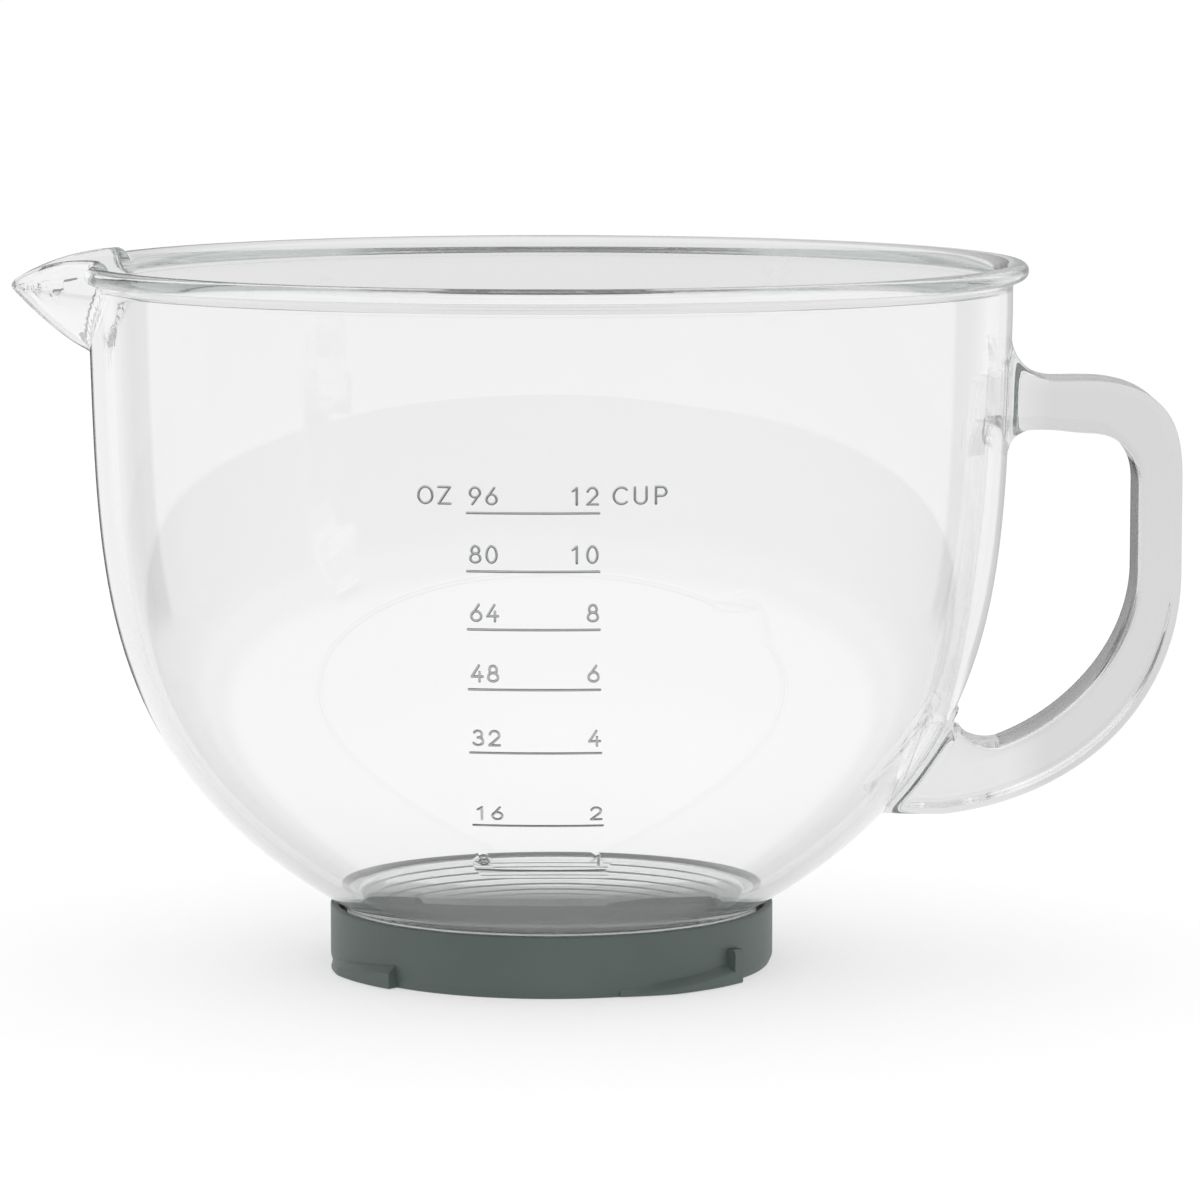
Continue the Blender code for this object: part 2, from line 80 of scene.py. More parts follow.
# Beak-shaped spout.
SPOUT_HALF_ANGLE = math.radians(16.5)
SPOUT_DEPTH = 22.5
SPOUT_REACH = 20.3
SPOUT_TIP_BELOW_RIM = 6.5
SPOUT_KEEL_POWER = 0.75
SPOUT_CREASE_POWER = 0.8
SPOUT_NOSE_ANGLE = math.radians(1.3)
LIP_DROP = 5.1
LIP_RISE = 1.5
LIP_POWER = 2.6
LIP_EDGE = 1.7
CREASE_FILLET = 1.0
CREASE_FADE = 0.25
MOST_STRETCH = 1.6

# Handle.
HANDLE_DEPTH = 26.0
HANDLE_EDGE = 2.2
HANDLE_TOP = 137.6
HANDLE_OUTER_AXIS = 147.6
HANDLE_FOOT = 44.3
ARM_THICKNESS = 12.0
ARM_END_THICKNESS = 12.8
CORNER_THICKNESS = 13.5
GRIP_THICKNESS = 10.6
LOWER_THICKNESS = 12.9
TAIL_THICKNESS = 12.0
ROOT_FILLET_UPPER = 11.0
ROOT_FILLET_INNER = 6.5
ROOT_FILLET_LOWER = 8.0
ROOT_FILLET_SIDE = 3.2
ROOT_FILLET_UNDER = 1.2
FILLET_BITE = 0.12

# Bayonet base.
BASE_RADIUS = 54.3
BASE_HEIGHT = 15.2
BASE_INNER_RADIUS = 52.2
BASE_MOUTH_RADIUS = 53.0
BASE_FLOOR_TOP = 10.6
BASE_FLOOR_BOTTOM = 8.0
BASE_RIM_WIDTH = 2.7
BASE_TAPER = 1.0
BASE_TAPER_HEIGHT = 2.4
HUB_RADIUS = 12.0
RIB_COUNT = 6
RIB_WIDTH = 2.4
RIB_BOTTOM = 0.5
LUG_RADIUS = 56.7
LUG_BOTTOM = 0.25
LUG_LOW = 0.3
LUG_CHAMFER = 1.7
LUG_ROOT = 1.6
LUG_RAMP = 0.4
PLAIN_LUG = {"start": -171.0, "end": -133.0, "high": 3.9}
STOP_LUG = {"start": -72.0, "end": -38.0, "high": 3.1}
STOP_HEIGHT = 8.6
STOP_SPAN = 2.4
STOP_SHIFT = 0.4
STOP_OVERLAP = 0.8
CUSHION_INNER = 41.2
CUSHION_OUTER = 46.8
BOND_HEIGHT = 12.2

# Raised scale on the front of the glass: line height, sideways shift, ounces and cups.
SCALE_ROWS = (
    (121.6, 0.0, "96", "12"), (108.3, 0.0, "80", "10"), (94.9, 0.1, "64", "8"), (80.85, 0.2, "48", "6"),
    (65.6, 0.4, "32", "4"), (47.2, 0.8, "16", "2"), (35.0, 1.2, "8", "1"),
)
SCALE_LEFT = -18.0
SCALE_RIGHT = 11.7
OUNCES_INDENT = 0.7
CUPS_INDENT = 0.3
UNIT_WORDS = (("OZ", -29.0, 4.6), ("CUP", 15.0, 4.75))
GLYPH_HEIGHT = 3.75
GLYPH_PITCH = 3.67
GLYPH_LIFT = 2.05
DIGIT_WIDTH = 0.62
STROKE_WIDTH = 0.62
STROKE_RISE = 0.24
STROKE_BURY = 0.5

# Rounded ends of a stroke: how far each ring lies beyond the last point, and its size.
STROKE_CAPS = ((0.30, 0.55), (0.22, 0.85))

# Finishes. The handle's glass is painted greyer, a painted shade for the light that crosses its whole
# depth.
GLASS_IOR = 1.5
GLASS_DEPTH_COLOUR = (0.66, 0.70, 0.69, 1.0)
GLASS_DENSITY = 2.0
GLASS_TINT_SPREAD = 0.012
CLEAR_TONE = 0.985
CLEAR_ROUGHNESS = 0.012
# The raised strokes' glass is painted darker, a painted shade for the grey edges their refraction gives.
STROKE_PAINTED_SHADE = 0.72
STROKE_ROUGHNESS = 0.3
STRAP_PAINTED_SHADE = 0.86
STRAP_SHADE_START = 0.112
STRAP_SHADE_END = 0.121
PLASTIC_IOR = 1.48
PLASTIC_TINTS = ((0.32, (0.077, 0.100, 0.092)), (0.68, (0.086, 0.111, 0.102)))
SILICONE_IOR = 1.42
SILICONE_TINTS = ((0.3, (0.075, 0.088, 0.082)), (0.7, (0.095, 0.108, 0.102)))

# Mesh resolution.
SPOUT_STEP = math.radians(0.45)
SPOUT_SPAN = math.radians(24.0)
BODY_COLUMNS = 240
ROUND_COLUMNS = 288
LOWER_ROWS = 44
SPOUT_ROWS = 14
FLOOR_ROWS = 30
FILLET_POINTS = 8
CREST_POINTS = 12
STRAP_SIDE_POINTS = 16
STRAP_FACE_POINTS = 9
CORE_ROWS = 49
STROKE_SIDES = 8
GLYPH_STEP = 0.8
RULE_STEP = 1.4
CUSHION_SIDES = 8

# Section directions.
INWARD, OUTWARD, UP, DOWN = (-1, 0), (1, 0), (0, 1), (0, -1)

# Camera, bounces and light, in metres and watts.
CAMERA_PLACE = (0.0119, -1.3927, 0.2524)
CAMERA_PITCH = 0.11673
CAMERA_LENS = 172.06
GLASS_BOUNCES = 200
CLEAR_BOUNCES = 16
SOFTBOX_PLACE = (0.0, 0.1, 1.6)
SOFTBOX_SIZE = 1.6
SOFTBOX_POWER = 3.0

# Floor: its rings, and the matt and the glowing share of its white.
FLOOR_RADII = (0.05, 0.3, 0.6, 1.2, 3.0, 8.0, 60.0)
FLOOR_COLUMNS = 90
FLOOR_MATT = 0.47
FLOOR_GLOW = 0.52

# Tones seen through both walls of the bowl: the floor's by distance, as a share of FLOOR_REACH, and
# the room's by how steeply the ray climbs. Rays through less glass see SINGLE_TONE. On the floor these
# tones are painted shade.
SINGLE_TONE = 0.765
FLOOR_REACH = 2.0
FLOOR_TONES = ((0.05, 0.95), (0.1, 0.92), (0.24, 0.887))
CLIMB_TONES = ((0.0, 0.2), (0.19, 0.14), (0.24, 0.3), (0.27, 0.5), (0.3, 0.5), (0.32, 0.42),
               (0.35, 0.55), (0.4, 1.0), (0.45, 1.05))

# Tones that glass mirrors: panels by azimuth, from the front (0) to the back (1), and overhead. The
# mirrored floor fades out between the distances of MIRROR_FADE.
MIRROR_FADE = (0.32, 0.40)
LEFT_PANELS = ((0.0, 1.08), (0.45, 1.06), (0.645, 1.0), (0.658, 0.0), (0.70, 0.05), (0.77, 1.12),
               (0.9, 1.0), (0.92, 0.0), (1.0, 0.0))
RIGHT_PANELS = ((0.0, 1.08), (0.45, 1.06), (0.655, 1.0), (0.668, 0.1), (0.70, 0.3), (0.77, 1.12),
                (0.865, 1.0), (0.885, 0.5))
OVERHEAD_START = ((0.7, 0.0), (0.85, 1.0))
OVERHEAD_TONE = 1.3

# Tone of the room for every other ray.
ROOM_TONE = 1.06


@lru_cache(maxsize=None)
def body_radius(z):
    """Outer radius of the glass wall at height z."""
    drop = max(SHOULDER_HEIGHT - z, 0.0)
    cone = BODY_RADIUS - BODY_TAPER * drop
    share = min(drop / BODY_DEPTH, 1.0)
    return cone * (1.0 - share**CURVE_POWER) ** (1.0 / CURVE_ROOT)


@lru_cache(maxsize=None)
def body_slope(z):
    """Change of the outer radius with height."""
    step = 0.05
    return (body_radius(z + step) - body_radius(z - step)) / (2.0 * step)


@lru_cache(maxsize=None)
def inner_radius(z):
    """Radius of the glass wall's inner face at height z, a wall thickness inside the outer one."""
    low = z - WALL
    high = z
    for _ in range(40):
        middle = 0.5 * (low + high)
        slope = body_slope(middle)
        if middle + WALL * slope / math.hypot(1.0, slope) < z:
            low = middle
        else:
            high = middle
    slope = body_slope(low)
    return body_radius(low) - WALL / math.hypot(1.0, slope)


def smooth_step(value):
    """Ease from 0 to 1 as value goes from 0 to 1."""
    clamped = min(max(value, 0.0), 1.0)
    return clamped * clamped * (3.0 - 2.0 * clamped)


def soft_max(first, second, width):
    """Larger of two values, rounded where they are closer than width."""
    overlap = max(width - abs(first - second), 0.0) / width
    return max(first, second) + 0.25 * width * overlap * overlap


def mix(first, second, share):
    """Value between first and second."""
    return first + (second - first) * share


def curve_point(spots, t):
    """Point on a cubic Bezier curve."""
    weights = ((1 - t) ** 3, 3 * t * (1 - t) ** 2, 3 * t * t * (1 - t), t**3)
    x = sum(weight * spot[0] for weight, spot in zip(weights, spots))
    z = sum(weight * spot[1] for weight, spot in zip(weights, spots))
    return x, z


def bezier(first, first_pull, last_pull, last, count):
    """Points along a cubic curve, without its last one."""
    spots = (first, first_pull, last_pull, last)
    return [curve_point(spots, index / count) for index in range(count)]


def straight(first, last, count, power=1.0):
    """Points from first towards last, without the last one; closer at first if power is above 1."""
    shares = [(index / count) ** power for index in range(count)]
    return [(mix(first[0], last[0], share), mix(first[1], last[1], share)) for share in shares]


def spout_angle(angle):
    """Angle away from the spout's middle plane, always positive."""
    turn = (angle - math.pi) % (2.0 * math.pi)
    return min(turn, 2.0 * math.pi - turn)


def spout_share(angle):
    """1 on the spout and 0 on the plain rim, blended at the spout's two corners."""
    margin = math.radians(1.4)
    return smooth_step((SPOUT_HALF_ANGLE + margin - spout_angle(angle)) / (2.0 * margin))


def rim_height(angle):
    """Height of the rim's crest, which rises at the spout's corners and dips at its tip."""
    along = max(1.0 - spout_angle(angle) / SPOUT_HALF_ANGLE, 0.0)
    drop = (LIP_DROP + LIP_RISE) * along**LIP_POWER - LIP_RISE
    return RIM_HEIGHT - drop * spout_share(angle)


def outer_radius(angle, z):
    """Outer radius at an angle and height, with the spout's two flat cheeks."""
    wall = body_radius(z)
    root = RIM_HEIGHT - SPOUT_DEPTH
    if z <= root or spout_angle(angle) > 2.0 * SPOUT_HALF_ANGLE:
        return wall
    rise = min((z - root) / (SPOUT_DEPTH - SPOUT_TIP_BELOW_RIM), 1.0)
    keel = wall + SPOUT_REACH * rise**SPOUT_KEEL_POWER
    crease = SPOUT_HALF_ANGLE * rise**SPOUT_CREASE_POWER
    from_middle = math.hypot(spout_angle(angle), SPOUT_NOSE_ANGLE) - 0.5 * SPOUT_NOSE_ANGLE
    half_width = wall * math.sin(crease)
    run = keel - wall * math.cos(crease)
    cheek = keel * half_width / (half_width * math.cos(from_middle) + run * math.sin(from_middle))
    fillet = CREASE_FILLET * min(rise / CREASE_FADE, 1.0) + 0.01
    return soft_max(wall, cheek, fillet)


def cavity_radius(angle, z):
    """Inner radius at an angle and height; the spout's glass keeps the wall's thickness."""
    wall = inner_radius(z)
    bulge = outer_radius(angle, z) - body_radius(z)
    if bulge <= 0.0:
        return wall
    turn = math.radians(0.5)
    lift = 0.4
    across = outer_radius(angle + turn, z) - outer_radius(angle - turn, z)
    upward = outer_radius(angle, z + lift) - outer_radius(angle, z - lift)
    lean_across = across / (2.0 * turn * outer_radius(angle, z))
    lean_up = upward / (2.0 * lift)
    stretch = min(math.sqrt(1.0 + lean_across**2 + lean_up**2), MOST_STRETCH)
    return wall + max(bulge - WALL * (stretch - 1.0), 0.0)


def bead_points(angle):
    """Rim section outside the spout: fillet, bead and rounded inner edge."""
    top = rim_height(angle)
    wall = body_radius(RIM_HEIGHT)
    centre = wall + BEAD_OFFSET
    level = top - BEAD_RADIUS
    across, up = math.cos(BEAD_START), math.sin(BEAD_START)
    low = (centre + BEAD_RADIUS * across, level + BEAD_RADIUS * up)
    pull = (low[0] + BEAD_PULL * up, low[1] - BEAD_PULL * across)
    points = bezier((wall, top - RIM_DEPTH), (wall, top - RIM_PULL_DEPTH), pull, low, FILLET_POINTS)
    for step in range(CREST_POINTS):
        turn = mix(BEAD_START, 0.5 * math.pi, step / (CREST_POINTS - 1))
        points.append((centre + BEAD_RADIUS * math.cos(turn), level + BEAD_RADIUS * math.sin(turn)))
    run = centre - inner_radius(RIM_HEIGHT - BEAD_SHOULDER)
    for step in range(1, CREST_POINTS + 1):
        turn = 0.5 * math.pi * step / CREST_POINTS
        height = top - BEAD_SHOULDER * (1.0 - math.cos(turn))
        points.append((centre - run * math.sin(turn), height))
    return points


def lip_points(angle):
    """Rim section on the spout: a plain rounded edge of the wall's thickness."""
    top = rim_height(angle)
    points = []
    for step in range(FILLET_POINTS):
        height = top - mix(RIM_DEPTH, LIP_EDGE + 0.3, step / (FILLET_POINTS - 1))
        points.append((outer_radius(angle, height), height))
    outside = outer_radius(angle, top - LIP_EDGE)
    inside = cavity_radius(angle, top - LIP_EDGE)
    middle = 0.5 * (outside + inside)
    half = 0.5 * (outside - inside)
    turns = [0.5 * math.pi * step / (CREST_POINTS - 1) for step in range(CREST_POINTS)]
    turns += [0.5 * math.pi * (1.0 + step / CREST_POINTS) for step in range(1, CREST_POINTS + 1)]
    for turn in turns:
        height = top - LIP_EDGE + LIP_EDGE * math.sin(turn)
        points.append((middle + half * math.cos(turn), height))
    return points


def rim_points(angle):
    """Rim section at an angle, from the outer wall over the crest to the inner wall."""
    share = spout_share(angle)
    if share <= 0.0:
        return bead_points(angle)
    pairs = zip(bead_points(angle), lip_points(angle))
    return [(mix(bead[0], lip[0], share), mix(bead[1], lip[1], share)) for bead, lip in pairs]


def foot_points():
    """Section of the underside and foot ring, with rounded corners, up to the wall's start."""
    outer, low, edge = FOOT_RADIUS, FOOT_BOTTOM, FOOT_EDGE
    inside = outer - FOOT_WIDTH
    recess = low + FOOT_RECESS
    points = [(0.0, recess), (0.3 * inside, recess), (0.6 * inside, recess), (inside - 4.0, recess)]
    points += bezier((inside - 2.2, recess), (inside - 1.0, recess),
                     (inside - 0.8, low), (inside + 0.6, low), 7)
    points += [(inside + 0.6, low), (outer - 2.0 * edge, low)]
    points += bezier((outer - edge, low), (outer - 0.4 * edge, low),
                     (outer, low + 0.4 * edge), (outer, low + edge), 4)
    return points


def wall_start():
    """Height at which the wall's curve leaves the foot ring."""
    neck = FOOT_BOTTOM
    while body_radius(neck) < FOOT_RADIUS:
        neck += 0.01
    return neck


NECK = wall_start()


def climb_share(row):
    """Share of the way up the wall at a row; the rows lie closer together near the foot."""
    return 1.0 - math.cos(0.5 * math.pi * row / LOWER_ROWS)


def floor_points(corner):
    """Section of the dished floor, from its rounded corner's height to the centre."""
    start = inner_radius(corner)
    edge = FLOOR_HEIGHT + FLOOR_DISH
    points = bezier((start, corner), (start - 0.4, corner - 0.2),
                    (FLOOR_RADIUS + 0.5, edge + 0.03), (FLOOR_RADIUS, edge), 10)
    for row in range(FLOOR_ROWS, -1, -1):
        share = row / FLOOR_ROWS
        points.append((FLOOR_RADIUS * share, FLOOR_HEIGHT + FLOOR_DISH * share * share))
    return points


def bowl_section(angle):
    """Half section of the glass at an angle, from the underside's centre to the floor's centre."""
    root = RIM_HEIGHT - SPOUT_DEPTH
    start = NECK + NECK_RISE
    points = foot_points()
    points += bezier((FOOT_RADIUS, FOOT_BOTTOM + FOOT_EDGE), (FOOT_RADIUS, NECK - 0.4),
                     (FOOT_RADIUS + 0.6, NECK + 0.5), (body_radius(start), start), 5)
    for row in range(LOWER_ROWS):
        height = round(mix(start, root, climb_share(row)), 4)
        points.append((body_radius(height), height))
    crest = rim_points(angle)
    for row in range(SPOUT_ROWS):
        height = mix(root, crest[0][1], row / SPOUT_ROWS)
        points.append((outer_radius(angle, height), height))
    points.extend(crest)
    for row in range(1, SPOUT_ROWS + 1):
        height = mix(crest[-1][1], root, row / SPOUT_ROWS)
        points.append((cavity_radius(angle, height), height))
    corner = round(FLOOR_HEIGHT + CORNER_HEIGHT, 4)
    for row in range(LOWER_ROWS - 1, 0, -1):
        height = round(mix(corner, root, climb_share(row)), 4)
        points.append((inner_radius(height), height))
    return points + floor_points(corner)


def bowl_angles():
    """Angles of the bowl's columns: even around the body and closer together on the spout."""
    reach = round(SPOUT_SPAN / SPOUT_STEP)
    angles = [math.pi + SPOUT_STEP * column for column in range(-reach, reach)]
    start = math.pi + SPOUT_STEP * reach
    sweep = 2.0 * math.pi - 2.0 * SPOUT_STEP * reach
    angles.extend(start + sweep * column / BODY_COLUMNS for column in range(BODY_COLUMNS))
    return angles


def round_angles():
    """Evenly spaced angles for the turned pieces."""
    return [2.0 * math.pi * column / ROUND_COLUMNS for column in range(ROUND_COLUMNS)]


def add_object(name, data):
    """Put a mesh, lamp or camera in the scene."""
    placed = bpy.data.objects.new(name, data)
    bpy.context.collection.objects.link(placed)
    return placed


def finish_mesh(name, bm, sharp=35.0):
    """Turn a bmesh in millimetres into a smooth-shaded object in metres."""
    bmesh.ops.recalc_face_normals(bm, faces=bm.faces)
    bmesh.ops.scale(bm, vec=Vector((MM, MM, MM)), verts=bm.verts)
    mesh = bpy.data.meshes.new(name)
    bm.to_mesh(mesh)
    bm.free()
    shade(mesh, sharp)
    return add_object(name, mesh)


def shade(mesh, sharp):
    """Shade a mesh smooth, except along edges sharper than an angle in degrees."""
    mesh.shade_smooth()
    mesh.set_sharp_from_angle(angle=math.radians(sharp))


def turned(name, angles, section, sharp=35.0):
    """Skin one half section per angle; sections start and end on the axis, or form a loop."""
    bm = bmesh.new()
    sections = [section(angle) for angle in angles]
    capped = sections[0][0][0] == 0.0
    inner = [points[1:-1] if capped else points for points in sections]
    columns = []
    for angle, points in zip(angles, inner):
        spots = [(r * math.cos(angle), r * math.sin(angle), z) for r, z in points]
        columns.append([bm.verts.new(spot) for spot in spots])
    pairs = list(zip(columns, columns[1:] + columns[:1]))
    rows = len(columns[0])
    last_row = rows - 1 if capped else rows
    for here, there in pairs:
        for row in range(last_row):
            above = (row + 1) % rows
            bm.faces.new((here[row], there[row], there[above], here[above]))
    if capped:
        for end, row in ((0, 0), (-1, -1)):
            pole = bm.verts.new((0.0, 0.0, sections[0][end][1]))
            for here, there in pairs:
                bm.faces.new((here[row], there[row], pole))
    return finish_mesh(name, bm, sharp)


def skin_rings(bm, rings, closed=False):
    """Join rings of vertices into a tube, which is a closed loop or has flat ends."""
    count = len(rings[0])
    following = rings[1:] + rings[:1] if closed else rings[1:]
    for here, there in zip(rings, following):
        for corner in range(count):
            after = (corner + 1) % count
            bm.faces.new((here[corner], here[after], there[after], there[corner]))
    if not closed:
        bm.faces.new(rings[0])
        bm.faces.new(rings[-1])


def combine(target, other, operation):
    """Cut or join another solid and bake the result into the target's mesh."""
    modifier = target.modifiers.new("combine", "BOOLEAN")
    modifier.operation = operation
    modifier.solver = "EXACT"
    modifier.object = other
    depsgraph = bpy.context.evaluated_depsgraph_get()
    result = bpy.data.meshes.new_from_object(target.evaluated_get(depsgraph))
    target.modifiers.clear()
    target.data = result
    bpy.data.objects.remove(other, do_unlink=True)


def handle_path():
    """Centre line of the handle with its thickness at each point, as (x, z, thickness)."""
    top, axis = HANDLE_TOP, HANDLE_OUTER_AXIS
    arm_start, arm_wall = (109.2, top + 0.2), (111.2, top + 0.2)
    arm_root, arm_end = (121.0, top + 0.1), (130.0, top - 0.3)
    grip_top, grip_end = (axis, 118.0), (axis, 97.0)
    root_start, tail_end = (95.0, HANDLE_FOOT), (68.0, HANDLE_FOOT)
    corner = bezier(arm_end, (141.5, top - 0.3), (axis, 131.5), grip_top, 32)
    sweep = bezier(grip_end, (axis, 73.0), (129.0, 48.5), root_start, 104)
    legs = [
        (straight(arm_start, arm_wall, 4), ARM_THICKNESS, ARM_THICKNESS),
        (straight(arm_wall, arm_root, 26, 2.0), ARM_THICKNESS, ARM_THICKNESS),
        (straight(arm_root, arm_end, 7), ARM_THICKNESS, ARM_END_THICKNESS),
        (corner[:16], ARM_END_THICKNESS, CORNER_THICKNESS),
        (corner[16:], CORNER_THICKNESS, GRIP_THICKNESS),
        (straight(grip_top, grip_end, 9), GRIP_THICKNESS, GRIP_THICKNESS),
        (sweep[:64:2], GRIP_THICKNESS, LOWER_THICKNESS),
        (sweep[64:], LOWER_THICKNESS, LOWER_THICKNESS),
        (straight(root_start, tail_end, 60), LOWER_THICKNESS, TAIL_THICKNESS),
    ]
    path = []
    for points, thick_first, thick_last in legs:
        for index, (x, z) in enumerate(points):
            share = smooth_step(index / len(points))
            path.append((x, z, mix(thick_first, thick_last, share)))
    return path


def wall_distance(x, y, z):
    """Distance of a point from the bowl's outer wall; negative inside it."""
    return (math.hypot(x, y) - body_radius(z)) / math.hypot(1.0, body_slope(z))


def root_flare(distance, radius, corner):
    """How far a round fillet climbs a wall from the face it joins, at a distance from the wall."""
    away = max(distance, 0.0)
    if away >= radius * (1.0 + math.cos(corner)):
        return 0.0
    tangent = radius / math.tan(0.5 * corner)
    return tangent - math.sqrt(2.0 * radius * away - away * away) - away / math.tan(corner)


def wall_climb(z, normal):
    """Unit (x, z) direction along the bowl's wall, to the side a face with this normal looks."""
    slope = body_slope(z)
    length = math.copysign(math.hypot(1.0, slope), slope * normal[0] + normal[1])
    return slope / length, 1.0 / length


def wall_corner(z, normal):
    """Angle through the air between the bowl's wall and a strap face with this (x, z) normal."""
    slope = body_slope(z)
    facing = (normal[0] - slope * normal[1]) / math.hypot(1.0, slope)
    return math.acos(min(max(-facing, -0.9), 0.9))


def fillet_radius(out_normal, z):
    """Fillet size on the finger side, above the arm and under the lower end."""
    at_arm = z > 0.5 * RIM_HEIGHT
    if out_normal <= 0.0:
        return ROOT_FILLET_INNER if at_arm else ROOT_FILLET_LOWER
    return ROOT_FILLET_UPPER if at_arm else ROOT_FILLET_UNDER


def strap_outline(half_thickness, half_depth):
    """Rounded rectangle as (offset outward, offset along Y, normal outward, normal along Y)."""
    outline = []
    corners = ((1, 1, 0), (-1, 1, 90), (-1, -1, 180), (1, -1, 270))
    flat_out = half_thickness - HANDLE_EDGE
    flat_along = half_depth - HANDLE_EDGE
    for side, front, start in corners:
        for step in range(0, 91, 10):
            turn = math.radians(start + step)
            out = side * flat_out + HANDLE_EDGE * math.cos(turn)
            along = front * flat_along + HANDLE_EDGE * math.sin(turn)
            outline.append((out, along, math.cos(turn), math.sin(turn)))
        count = STRAP_SIDE_POINTS if side == front else STRAP_FACE_POINTS
        for point in range(1, count + 1):
            across = mix(1.0, -1.0, point / (count + 1))
            if side == front:
                outline.append((side * flat_out * across, front * half_depth, 0.0, front))
            else:
                outline.append((side * half_thickness, front * flat_along * across, side, 0.0))
    return outline


def make_handle():
    """Glass strap that flares where it runs into the bowl's wall."""
    bm = bmesh.new()
    path = handle_path()
    rings = []
    for index, (x, z, thickness) in enumerate(path):
        before = path[max(index - 1, 0)]
        after = path[min(index + 1, len(path) - 1)]
        run = (after[0] - before[0], after[1] - before[1])
        length = math.hypot(*run)
        outward = (-run[1] / length, run[0] / length)
        ring = []
        for out, along, out_normal, along_normal in strap_outline(0.5 * thickness, 0.5 * HANDLE_DEPTH):
            spot = (x + out * outward[0], along, z + out * outward[1])
            distance = wall_distance(*spot) + FILLET_BITE
            facing = math.copysign(1.0, out_normal)
            normal = (facing * outward[0], facing * outward[1])
            corner = wall_corner(spot[2], normal)
            climb = wall_climb(spot[2], normal)
            tall = root_flare(distance, fillet_radius(out_normal, z), corner) * abs(out_normal)
            side = root_flare(distance, ROOT_FILLET_SIDE, 0.5 * math.pi) * along_normal
            moved = (spot[0] + tall * climb[0], spot[1] + side, spot[2] + tall * climb[1])
            ring.append(bm.verts.new(moved))
        rings.append(ring)
    skin_rings(bm, rings)
    return finish_mesh("handle_strap", bm)


def make_wall_core():
    """Solid inside the middle of the glass wall, which keeps the handle out of the cavity."""
    low = 20.0
    high = RIM_HEIGHT - 8.0

    def section(_angle):
        points = [(0.0, low)]
        for row in range(CORE_ROWS + 1):
            height = mix(low, high, row / CORE_ROWS)
            points.append((0.5 * (body_radius(height) + inner_radius(height)), height))
        points.append((0.0, high))
        return points

    return turned("wall_core", round_angles(), section)


def arc(centre_x, centre_y, radius_x, radius_y, first, last, count=14):
    """Points on an ellipse between two angles in degrees."""
    turns = [math.radians(mix(first, last, index / count)) for index in range(count + 1)]
    return [(centre_x + radius_x * math.cos(t), centre_y + radius_y * math.sin(t)) for t in turns]


def glyph(character):
    """Centre lines of a character in a box one unit high, as (across, up) points.

    They come in two sets, so that no set holds two lines that cross or meet at a sharp corner.
    """
    shapes = {
        "0": ([arc(0.3, 0.5, 0.3, 0.5, 0, 360, 24)], []),
        "1": ([[(0.34, 1.0), (0.34, 0.0)]], [[(0.10, 0.80), (0.33, 0.98)]]),
        "2": ([arc(0.3, 0.71, 0.29, 0.29, 165, -38) + [(0.0, 0.0)]], [[(0.01, 0.0), (0.62, 0.0)]]),
        "3": ([arc(0.27, 0.76, 0.25, 0.24, 150, -90)], [arc(0.28, 0.27, 0.31, 0.27, 90, -150)]),
        "4": ([[(0.42, 1.0), (0.0, 0.3)], [(0.46, 0.58), (0.46, 0.0)]], [[(0.01, 0.3), (0.64, 0.3)]]),
        "6": ([[(0.46, 1.0), (0.09, 0.46)]], [arc(0.31, 0.3, 0.3, 0.3, 0, 360, 20)]),
        "8": ([arc(0.3, 0.77, 0.23, 0.23, 0, 360, 18)], [arc(0.3, 0.27, 0.3, 0.27, 0, 360, 20)]),
        "9": ([[(0.14, 0.0), (0.51, 0.54)]], [arc(0.29, 0.7, 0.3, 0.3, 0, 360, 20)]),
        "O": ([arc(0.42, 0.5, 0.42, 0.5, 0, 360, 26)], []),
        "Z": ([[(0.0, 1.0), (0.68, 1.0)], [(0.0, 0.0), (0.7, 0.0)]], [[(0.67, 0.99), (0.01, 0.01)]]),
        "C": ([arc(0.46, 0.5, 0.46, 0.5, 48, 312, 20)], []),
        "U": ([[(0.0, 1.0)] + arc(0.35, 0.35, 0.35, 0.35, 180, 360, 12) + [(0.7, 1.0)]], []),
        "P": ([[(0.0, 0.0), (0.0, 1.0)]],
              [[(0.02, 0.99)] + arc(0.36, 0.72, 0.27, 0.27, 90, -90, 10) + [(0.02, 0.45)]]),
    }
    return shapes[character]


def wall_spot(across, base, climb, rise):
    """Point over the front wall: across in X, climbed along the wall from a base height."""
    height = base
    for _ in range(8):
        height += climb / 8.0 / math.hypot(1.0, body_slope(height))
    slope = body_slope(height)
    length = math.hypot(1.0, slope)
    radius = body_radius(height) + rise / length
    turn = math.asin(across / radius)
    return Vector((across, -radius * math.cos(turn), height - rise * slope / length))


def stroke_ring(bm, spot, along, base, push, size):
    """Ring across a stroke at a spot of its line, pushed along it and scaled by size."""
    turns = [math.pi * step / STROKE_SIDES for step in range(STROKE_SIDES + 1)]
    profile = [(0.5 * STROKE_WIDTH * math.cos(turn), STROKE_RISE * math.sin(turn)) for turn in turns]
    profile += [(-0.5 * STROKE_WIDTH, -STROKE_BURY), (0.5 * STROKE_WIDTH, -STROKE_BURY)]
    ring = []
    for across, rise in profile:
        x = spot[0] + along[1] * across * size + along[0] * push
        up = spot[1] - along[0] * across * size + along[1] * push
        ring.append(bm.verts.new(wall_spot(x, base, up, rise * (size if rise > 0 else 1))))
    return ring


